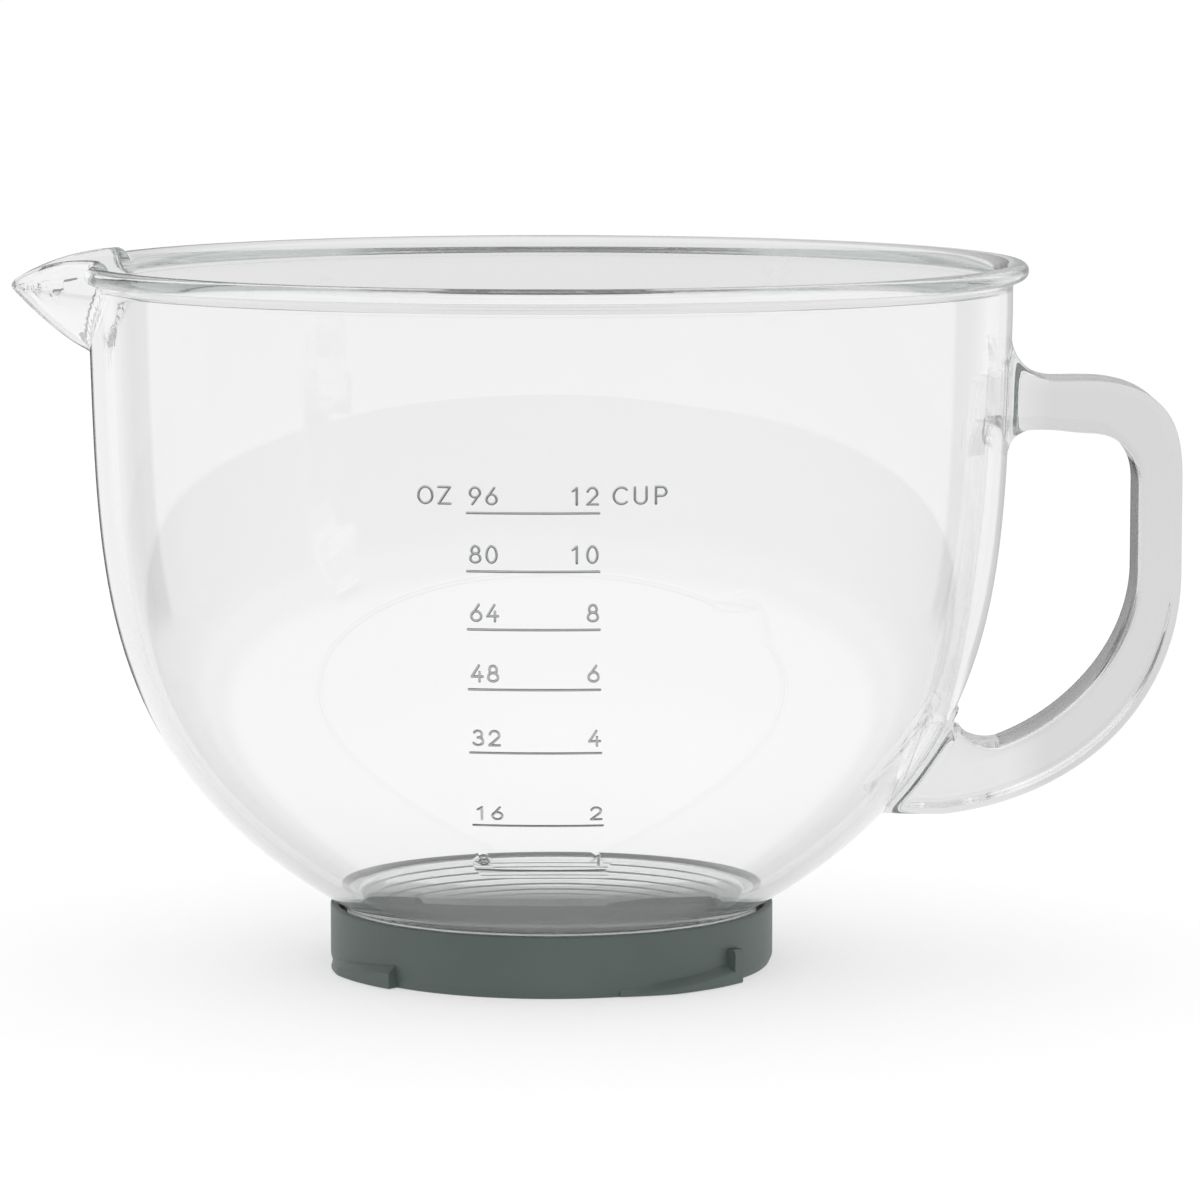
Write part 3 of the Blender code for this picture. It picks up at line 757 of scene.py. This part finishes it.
def add_stroke(bm, line, base):
    """Add a raised round-topped stroke that follows a centre line on the wall."""
    closed = math.dist(line[0], line[-1]) < 1e-6
    spots = line[:-1] if closed else line
    last = len(spots) - 1
    rings = []
    for index, spot in enumerate(spots):
        before = spots[index - 1] if closed or index else spot
        after = spots[(index + 1) % len(spots)] if closed or index < last else spot
        run = (after[0] - before[0], after[1] - before[1])
        length = math.hypot(*run)
        along = (run[0] / length, run[1] / length)
        places = [(0.0, 1.0)]
        if not closed and index == 0:
            places = [(-push, size) for push, size in STROKE_CAPS] + places
        if not closed and index == last:
            places += reversed(STROKE_CAPS)
        rings += [stroke_ring(bm, spot, along, base, push, size) for push, size in places]
    skin_rings(bm, rings, closed)


def densify(line, step):
    """Split long runs of a centre line so that it can follow the wall."""
    points = [line[0]]
    for first, last in zip(line, line[1:]):
        count = max(round(math.dist(first, last) / step), 1)
        for index in range(1, count + 1):
            share = index / count
            points.append((mix(first[0], last[0], share), mix(first[1], last[1], share)))
    return points


def make_scale():
    """Raised measuring lines, numbers and unit names on the front wall."""
    groups = (bmesh.new(), bmesh.new())

    def write(text, left, base, pitch=GLYPH_PITCH):
        for place, character in enumerate(text):
            start = left + place * pitch
            for bm, lines in zip(groups, glyph(character)):
                for line in lines:
                    moved = [(start + GLYPH_HEIGHT * a, GLYPH_LIFT + GLYPH_HEIGHT * u) for a, u in line]
                    add_stroke(bm, densify(moved, GLYPH_STEP), base)

    for height, shift, ounces, cups in SCALE_ROWS:
        left, right = SCALE_LEFT + shift, SCALE_RIGHT + shift
        add_stroke(groups[0], densify([(left, 0.0), (right, 0.0)], RULE_STEP), height)
        write(ounces, left + OUNCES_INDENT, height)
        width = DIGIT_WIDTH * GLYPH_HEIGHT + (len(cups) - 1) * GLYPH_PITCH
        write(cups, right - CUPS_INDENT - width, height)
    for word, left, pitch in UNIT_WORDS:
        write(word, left, SCALE_ROWS[0][0], pitch)
    strokes = finish_mesh("scale_strokes", groups[0])
    second = finish_mesh("second_strokes", groups[1])
    for piece in (strokes, second):
        add_material_slots(piece)
        piece.data.polygons.foreach_set("material_index", [1] * len(piece.data.polygons))
    combine(strokes, second, "UNION")
    return strokes


def add_material_slots(piece):
    """Give a piece its two empty material slots: clear glass and strokes."""
    for _ in range(2):
        piece.data.materials.append(None)


def make_glass():
    """Bowl, handle and raised scale in one piece of glass."""
    glass = turned("glass_body", bowl_angles(), bowl_section)
    handle = make_handle()
    combine(handle, make_wall_core(), "DIFFERENCE")
    combine(glass, handle, "UNION")
    add_material_slots(glass)
    combine(glass, make_scale(), "UNION")
    shade(glass.data, 35.0)
    return glass


def rounded(corner, back, ahead, size, pull):
    """Small rounded corner of a section, which runs in from back and out towards ahead."""
    spots = [(corner[0] + way[0] * reach, corner[1] + way[1] * reach)
             for way, reach in ((back, size), (back, pull), (ahead, pull), (ahead, size))]
    return bezier(*spots, 4)


def base_section(_angle):
    """Half section of the base: hub, recessed floor, rest rim and upright wall."""
    hub, wall, mouth, inner = HUB_RADIUS, BASE_RADIUS, BASE_MOUTH_RADIUS, BASE_INNER_RADIUS
    low, floor, top = BASE_FLOOR_BOTTOM, BASE_FLOOR_TOP, BASE_HEIGHT
    edge = wall - BASE_TAPER
    rest = edge - BASE_RIM_WIDTH
    taper_end = (wall, BASE_TAPER_HEIGHT + 0.3)
    points = [(0.0, 0.0), (hub - 1.0, 0.0)]
    points += rounded((hub, 0.0), INWARD, UP, 0.6, 0.2)
    points += [(hub, 0.6), (hub, low - 0.6)]
    points += rounded((hub, low), DOWN, OUTWARD, 0.5, 0.1)
    points += [(hub + 0.5, low), (0.5 * wall, low)]
    points += rounded((rest, low), INWARD, DOWN, 0.6, 0.1)
    points += rounded((rest, 0.0), UP, OUTWARD, 0.5, 0.1)
    points += bezier((edge - 0.5, 0.0), (edge, 0.0), (edge + 0.2, 0.3), (edge + 0.4, 0.8), 6)
    points += bezier((edge + 0.4, 0.8), (edge + 0.7, 1.5), (wall, 1.8), taper_end, 6)
    points += straight(taper_end, (wall, top), 10)
    points += bezier((wall, top - 0.8), (wall, top - 0.2), (wall - 0.3, top), (wall - 0.8, top), 6)
    points += [(wall - 0.8, top), (mouth + 0.3, top)]
    points += bezier((mouth, top - 0.05), (mouth - 0.5, top - 0.3),
                     (inner, top - 0.8), (inner, top - 1.6), 6)
    points += [(inner, top - 1.6), (inner, floor + 0.6)]
    points += rounded((inner, floor), UP, INWARD, 0.5, 0.1)
    points += [(inner - 0.5, floor), (0.5 * wall, floor), (0.0, floor)]
    return drop_repeats(points)


def drop_repeats(points):
    """Leave out points that repeat the one before."""
    kept = [points[0]]
    for point in points[1:]:
        if math.dist(point, kept[-1]) > 0.02:
            kept.append(point)
    return kept


def add_swept_wedge(bm, start, end, outline, steps):
    """Add a closed solid swept around Z, whose outline may change along the way."""
    rings = []
    for index in range(steps + 1):
        share = index / steps
        angle = math.radians(mix(start, end, share))
        spots = [(r * math.cos(angle), r * math.sin(angle), z) for r, z in outline(share)]
        rings.append([bm.verts.new(spot) for spot in spots])
    skin_rings(bm, rings)


def lug_outline(high):
    """Outline of a lug along its ramp, growing out of the wall and rising to high."""
    buried = BASE_RADIUS - LUG_ROOT

    def outline(share):
        edge = mix(LUG_LOW, high, share) + LUG_BOTTOM
        reach = mix(BASE_RADIUS + 0.2, LUG_RADIUS, min(share / LUG_RAMP, 1.0))
        shoulder = edge + LUG_CHAMFER
        low = LUG_BOTTOM + 0.1
        top = max(edge - 0.15, low + 0.1)
        return [(buried, LUG_BOTTOM), (reach - 0.1, LUG_BOTTOM), (reach, low), (reach, top),
                (reach - 0.12, top + 0.2), (BASE_RADIUS - 0.2, shoulder), (buried, shoulder)]

    return outline


def stop_outline(_share):
    """Outline of the upright rib that ends a stop lug."""
    buried = BASE_RADIUS - LUG_ROOT
    top = STOP_HEIGHT
    return [(buried, LUG_BOTTOM), (LUG_RADIUS - 0.15, LUG_BOTTOM), (LUG_RADIUS, LUG_BOTTOM + 0.15),
            (LUG_RADIUS, top - 0.9), (LUG_RADIUS - 0.25, top - 0.35), (LUG_RADIUS - 0.8, top),
            (buried, top)]


def add_rib(bm, angle):
    """Add a straight rib under the base's floor, from the hub to the rest rim."""
    inner = HUB_RADIUS - 1.0
    outer = BASE_RADIUS - BASE_TAPER - BASE_RIM_WIDTH + 1.0
    root = BASE_FLOOR_BOTTOM + 0.6
    shoulder = RIB_BOTTOM + 0.3
    outline = ((-1.0, root), (-1.0, shoulder), (-0.75, RIB_BOTTOM),
               (0.75, RIB_BOTTOM), (1.0, shoulder), (1.0, root))
    along = Vector((math.cos(angle), math.sin(angle), 0.0))
    across = Vector((-along.y, along.x, 0.0))
    rings = []
    for reach in (inner, outer):
        spots = [along * reach + across * (0.5 * RIB_WIDTH * side) for side, _ in outline]
        rings.append([bm.verts.new((spot.x, spot.y, z)) for spot, (_, z) in zip(spots, outline)])
    skin_rings(bm, rings)


def make_base():
    """Moulded base with its lugs, stop ribs and floor ribs; a lug has one step per degree."""
    base = turned("bayonet_base_moulding", round_angles(), base_section, 30.0)
    for half_turn in (0.0, 180.0):
        bm = bmesh.new()
        for lug in (PLAIN_LUG, STOP_LUG):
            start, end = lug["start"] + half_turn, lug["end"] + half_turn
            add_swept_wedge(bm, start, end, lug_outline(lug["high"]), round(end - start))
        combine(base, finish_mesh("lugs", bm), "UNION")
        bm = bmesh.new()
        rib = STOP_LUG["end"] + half_turn + STOP_SHIFT
        add_swept_wedge(bm, rib - STOP_OVERLAP, rib + STOP_SPAN, stop_outline, 4)
        combine(base, finish_mesh("stop_rib", bm), "UNION")
    bm = bmesh.new()
    for rib in range(RIB_COUNT):
        add_rib(bm, math.radians(360.0 * (rib + 0.5) / RIB_COUNT))
    combine(base, finish_mesh("floor_ribs", bm), "UNION")
    shade(base.data, 28.0)
    return base


def make_cushion():
    """Silicone ring with rounded edges that the foot stands on."""
    bottom = BASE_FLOOR_TOP + GAP
    top = FOOT_BOTTOM - GAP
    half = 0.5 * (top - bottom)
    middle = 0.5 * (top + bottom)
    turns = [math.pi * step / CUSHION_SIDES for step in range(CUSHION_SIDES + 1)]

    def section(_angle):
        points = [(CUSHION_INNER + half - half * math.sin(t), middle - half * math.cos(t)) for t in turns]
        points += [(CUSHION_OUTER - half + half * math.sin(t), middle + half * math.cos(t)) for t in turns]
        return points

    return turned("foot_cushion_ring", round_angles(), section, 50.0)


def make_bond():
    """Silicone bead at the bottom of the groove between the foot and the base's wall."""
    inner = FOOT_RADIUS + GAP
    outer = BASE_INNER_RADIUS - GAP
    bottom = BASE_FLOOR_TOP + GAP

    def section(_angle):
        points = [(inner, bottom), (outer, bottom), (outer, 0.5 * (bottom + BOND_HEIGHT))]
        points += bezier((outer, BOND_HEIGHT), (mix(outer, inner, 0.3), BOND_HEIGHT - 0.9),
                         (mix(outer, inner, 0.7), BOND_HEIGHT - 0.9), (inner, BOND_HEIGHT), 10)
        points += [(inner, BOND_HEIGHT)]
        return points

    return turned("bond_bead_ring", round_angles(), section, 40.0)


def new_material(name):
    """Empty node material; returns it with its tree, shader and output."""
    material = bpy.data.materials.new(name)
    material.use_nodes = True
    tree = material.node_tree
    return material, tree, tree.nodes["Principled BSDF"], tree.nodes["Material Output"]


def add_node(tree, kind, **values):
    """Add a shader node and set its properties and inputs."""
    node = tree.nodes.new("ShaderNode" + kind)
    for key, value in values.items():
        if hasattr(node, key):
            setattr(node, key, value)
        else:
            node.inputs[key].default_value = value
    return node


def object_noise(tree, scale, detail, roughness=0.5):
    """Noise value in object coordinates."""
    coordinates = add_node(tree, "TexCoord")
    noise = add_node(tree, "TexNoise", Scale=scale, Detail=detail, Roughness=roughness)
    tree.links.new(coordinates.outputs["Object"], noise.inputs["Vector"])
    return noise.outputs["Fac"]


def colour_ramp(tree, source, stops):
    """Colour from a ramp on a value, with (position, colour) stops."""
    ramp = add_node(tree, "ValToRGB")
    elements = ramp.color_ramp.elements
    for index, (position, colour) in enumerate(stops):
        element = elements[index] if index < 2 else elements.new(position)
        element.position = position
        element.color = (*colour, 1.0)
    tree.links.new(source, ramp.inputs["Fac"])
    return ramp.outputs["Color"]


def value_range(tree, source, low, high, start=0.0, end=1.0):
    """Value from low to high, as the source goes from start to end."""
    node = add_node(tree, "MapRange")
    for name, value in (("From Min", start), ("From Max", end), ("To Min", low), ("To Max", high)):
        node.inputs[name].default_value = value
    tree.links.new(source, node.inputs["Value"])
    return node.outputs["Result"]


def add_bump(tree, shader, source, strength, distance):
    """Give a shader fine relief from a height value."""
    bump = add_node(tree, "Bump", Strength=strength, Distance=distance)
    tree.links.new(source, bump.inputs["Height"])
    tree.links.new(bump.outputs["Normal"], shader.inputs["Normal"])


def axes(tree, kind):
    """X, Y and Z of a kind of texture coordinates, by name."""
    place = add_node(tree, "TexCoord")
    split = add_node(tree, "SeparateXYZ")
    tree.links.new(place.outputs[kind], split.inputs["Vector"])
    return split.outputs


def glass_material(name, tone, strap_painted_shade, roughness):
    """Pressed glass with a slightly uneven skin; on the handle its colour is darkened, a painted shade."""
    material, tree, shader, output = new_material(name)
    link = tree.links.new
    shader.inputs["Transmission Weight"].default_value = 1.0
    shader.inputs["IOR"].default_value = GLASS_IOR
    haze = object_noise(tree, 9.0, 3.0)
    tint = colour_ramp(tree, haze, ((0.3, (tone,) * 3), (0.7, (tone + GLASS_TINT_SPREAD,) * 3)))
    along = axes(tree, "Object")["X"]
    # Painted shade: past the wall, over the handle, the glass colour is darkened.
    reach = value_range(tree, along, 1.0, strap_painted_shade, STRAP_SHADE_START, STRAP_SHADE_END)
    tint_with_painted_shade = add_node(tree, "VectorMath", operation="SCALE")
    link(tint, tint_with_painted_shade.inputs[0])
    link(reach, tint_with_painted_shade.inputs["Scale"])
    link(tint_with_painted_shade.outputs["Vector"], shader.inputs["Base Color"])
    link(value_range(tree, haze, 0.0, roughness), shader.inputs["Roughness"])
    add_bump(tree, shader, object_noise(tree, 16.0, 1.0, 0.3), 0.03, 0.003)
    depth = add_node(tree, "VolumeAbsorption")
    depth.inputs["Color"].default_value = GLASS_DEPTH_COLOUR
    depth.inputs["Density"].default_value = GLASS_DENSITY
    link(depth.outputs["Volume"], output.inputs["Volume"])
    return material


def plastic_material():
    """Satin sage-grey moulded plastic with a fine spark-eroded grain."""
    material, tree, shader, _ = new_material("sage_moulded_plastic")
    shader.inputs["IOR"].default_value = PLASTIC_IOR
    tint = colour_ramp(tree, object_noise(tree, 34.0, 4.0), PLASTIC_TINTS)
    tree.links.new(tint, shader.inputs["Base Color"])
    grain = object_noise(tree, 1900.0, 3.0, 0.6)
    tree.links.new(value_range(tree, grain, 0.38, 0.56), shader.inputs["Roughness"])
    add_bump(tree, shader, grain, 0.22, 0.0002)
    return material


def silicone_material():
    """Matt grey silicone with a soft mottle."""
    material, tree, shader, _ = new_material("grey_silicone_rubber")
    shader.inputs["IOR"].default_value = SILICONE_IOR
    cloud = object_noise(tree, 60.0, 4.0)
    tree.links.new(colour_ramp(tree, cloud, SILICONE_TINTS), shader.inputs["Base Color"])
    tree.links.new(value_range(tree, cloud, 0.55, 0.7), shader.inputs["Roughness"])
    add_bump(tree, shader, object_noise(tree, 700.0, 2.0), 0.2, 0.0003)
    return material


def dress(piece, materials, slot, *nodes):
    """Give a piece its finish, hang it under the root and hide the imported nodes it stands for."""
    while len(piece.data.materials) < len(materials):
        piece.data.materials.append(None)
    for index, material in enumerate(materials):
        piece.data.materials[index] = material
    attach(piece, "root")
    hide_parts(*nodes)


def feed(tree, socket, value):
    """Give an input socket its value: a number, or another socket to link."""
    if isinstance(value, (int, float)):
        socket.default_value = value
    else:
        tree.links.new(value, socket)


def maths(tree, operation, *values):
    """Result of a math node on values, which are sockets or numbers."""
    node = add_node(tree, "Math", operation=operation)
    for socket, value in zip(node.inputs, values):
        feed(tree, socket, value)
    return node.outputs["Value"]


def seen_directly(tree, kind):
    """1 for rays of a kind that reach a surface before any matt surface has scattered them."""
    path = add_node(tree, "LightPath")
    matt = maths(tree, "MINIMUM", path.outputs["Diffuse Depth"], 1.0)
    clear = maths(tree, "SUBTRACT", 1.0, matt)
    if kind == "reflected":
        both = maths(tree, "MULTIPLY", path.outputs["Is Reflection Ray"], path.outputs["Is Glossy Ray"])
        return maths(tree, "MULTIPLY", both, clear)
    return maths(tree, "MULTIPLY", path.outputs["Is Transmission Ray"], clear)


def through_two_walls(tree):
    """1 for rays that have gone in and out of the glass at least twice."""
    path = add_node(tree, "LightPath")
    return maths(tree, "GREATER_THAN", path.outputs["Transmission Depth"], 3.5)


def tone_ramp(tree, source, stops):
    """Grey ramp on a value, with (position, level) stops; levels may be above 1."""
    top = max(level for _, level in stops)
    ramp = colour_ramp(tree, source, [(place, (level / top,) * 3) for place, level in stops])
    return maths(tree, "MULTIPLY", ramp, top)


def blend_values(tree, share, first, second):
    """Mix of two values, which are sockets or numbers."""
    node = add_node(tree, "Mix", data_type="FLOAT")
    for place, value in ((0, share), (2, first), (3, second)):
        feed(tree, node.inputs[place], value)
    return node.outputs[0]


def floor_mesh():
    """Flat round mesh of the table top, finer near the bowl."""
    bm = bmesh.new()
    turns = [math.radians(360.0 * k / FLOOR_COLUMNS) for k in range(FLOOR_COLUMNS)]
    rings = [[bm.verts.new((radius * math.cos(t), radius * math.sin(t), 0.0)) for t in turns]
             for radius in FLOOR_RADII]
    bm.faces.new(rings[0])
    for here, there in zip(rings, rings[1:]):
        for k in range(FLOOR_COLUMNS):
            after = (k + 1) % FLOOR_COLUMNS
            bm.faces.new((here[k], there[k], there[after], here[after]))
    mesh = bpy.data.meshes.new("studio_floor")
    bmesh.ops.recalc_face_normals(bm, faces=bm.faces)
    bm.to_mesh(mesh)
    bm.free()
    return mesh


def floor_material():
    """White that is partly matt and partly glows; seen through the glass it is painted darker, a painted
    shade.
    """
    material = bpy.data.materials.new("studio_floor")
    material.use_nodes = True
    material.cycles.emission_sampling = "NONE"
    tree = material.node_tree
    tree.nodes.clear()
    link = tree.links.new
    output = add_node(tree, "OutputMaterial")
    place = add_node(tree, "NewGeometry")
    length = add_node(tree, "VectorMath", operation="LENGTH")
    link(place.outputs["Position"], length.inputs[0])
    away = length.outputs["Value"]
    # Painted shade: seen through the glass, the floor is darker.
    through = tone_ramp(tree, maths(tree, "DIVIDE", away, FLOOR_REACH), FLOOR_TONES)
    through = blend_values(tree, through_two_walls(tree), SINGLE_TONE, through)
    tone = blend_values(tree, seen_directly(tree, "transmitted"), 1.0, through)
    matt = add_node(tree, "BsdfDiffuse")
    link(maths(tree, "MULTIPLY", tone, FLOOR_MATT), matt.inputs["Color"])
    glow = add_node(tree, "Emission")
    link(maths(tree, "MULTIPLY", tone, FLOOR_GLOW), glow.inputs["Strength"])
    white = add_node(tree, "AddShader")
    link(matt.outputs["BSDF"], white.inputs[0])
    link(glow.outputs["Emission"], white.inputs[1])
    clear = add_node(tree, "BsdfTransparent")
    far = value_range(tree, away, 0.0, 1.0, *MIRROR_FADE)
    gone = maths(tree, "MULTIPLY", far, seen_directly(tree, "reflected"))
    blend = add_node(tree, "MixShader")
    link(gone, blend.inputs["Fac"])
    link(white.outputs["Shader"], blend.inputs[1])
    link(clear.outputs["BSDF"], blend.inputs[2])
    link(blend.outputs["Shader"], output.inputs["Surface"])
    return material


def make_floor():
    """Plain white table top, which is part of the studio."""
    mesh = floor_mesh()
    mesh.materials.append(floor_material())
    floor = add_object("studio_floor", mesh)


def make_world():
    """White room; mirrored rays see panels with dark gaps, and refracted rays see greyer tones."""
    world = bpy.data.worlds.new("studio")
    bpy.context.scene.world = world
    world.use_nodes = True
    tree = world.node_tree
    background = tree.nodes["Background"]
    x, y, climb = axes(tree, "Generated")
    side = maths(tree, "ABSOLUTE", x)
    towards = maths(tree, "MULTIPLY", y, -1.0)
    azimuth = maths(tree, "DIVIDE", maths(tree, "ARCTAN2", side, towards), math.pi)
    right = maths(tree, "GREATER_THAN", x, 0.0)
    left_panels = tone_ramp(tree, azimuth, LEFT_PANELS)
    right_panels = tone_ramp(tree, azimuth, RIGHT_PANELS)
    panels = blend_values(tree, right, left_panels, right_panels)
    overhead = tone_ramp(tree, climb, OVERHEAD_START)
    mirrored = blend_values(tree, overhead, panels, OVERHEAD_TONE)
    glazed = tone_ramp(tree, climb, CLIMB_TONES)
    glazed = blend_values(tree, through_two_walls(tree), SINGLE_TONE, glazed)
    level = blend_values(tree, seen_directly(tree, "reflected"), ROOM_TONE, mirrored)
    level = blend_values(tree, seen_directly(tree, "transmitted"), level, glazed)
    tree.links.new(level, background.inputs["Strength"])
    background.inputs["Color"].default_value = (1.0, 1.0, 1.0, 1.0)


def make_softbox():
    """Square soft light above the bowl, aimed at the origin and not seen by glass."""
    lamp = bpy.data.lights.new("overhead_softbox", "AREA")
    lamp.shape = "SQUARE"
    lamp.size = SOFTBOX_SIZE
    lamp.energy = SOFTBOX_POWER
    softbox = add_object("overhead_softbox", lamp)
    softbox.location = SOFTBOX_PLACE
    aim = Vector((0.0, 0.0, 0.0)) - Vector(SOFTBOX_PLACE)
    softbox.rotation_euler = aim.to_track_quat("-Z", "Y").to_euler()
    softbox.visible_glossy = False
    softbox.visible_transmission = False


def make_camera():
    """Camera a little above the rim, with a long lens."""
    data = bpy.data.cameras.new("camera")
    data.lens = CAMERA_LENS
    data.sensor_width = 36.0
    data.clip_start = 0.05
    data.clip_end = 100.0
    camera = add_object("camera", data)
    camera.location = CAMERA_PLACE
    camera.rotation_euler = (0.5 * math.pi - CAMERA_PITCH, 0.0, 0.0)
    bpy.context.scene.camera = camera


def build():
    """Make the camera, the pieces and the studio."""
    make_camera()
    clear = glass_material("clear_pressed_glass", CLEAR_TONE, STRAP_PAINTED_SHADE, CLEAR_ROUGHNESS)
    # Rougher stroke glass, painted darker as a painted shade.
    frosted_painted_shade_glass = glass_material("raised_stroke_glass", STROKE_PAINTED_SHADE, 1.0, STROKE_ROUGHNESS)
    dress(make_glass(), [clear, frosted_painted_shade_glass], "clear_glass", "glass_bowl", "glass_handle")
    dress(make_base(), [plastic_material()], "sage_plastic", "bayonet_base")
    silicone = silicone_material()
    dress(make_cushion(), [silicone], "grey_silicone", "foot_cushion")
    dress(make_bond(), [silicone], "grey_silicone", "bond_bead")
    make_floor()
    make_world()
    make_softbox()
    scene = bpy.context.scene
    scene.cycles.max_bounces = scene.cycles.glossy_bounces = GLASS_BOUNCES
    scene.cycles.transmission_bounces = GLASS_BOUNCES
    scene.cycles.transparent_max_bounces = CLEAR_BOUNCES
    scene.view_settings.view_transform = "Standard"
    scene.view_settings.look = "None"


build()
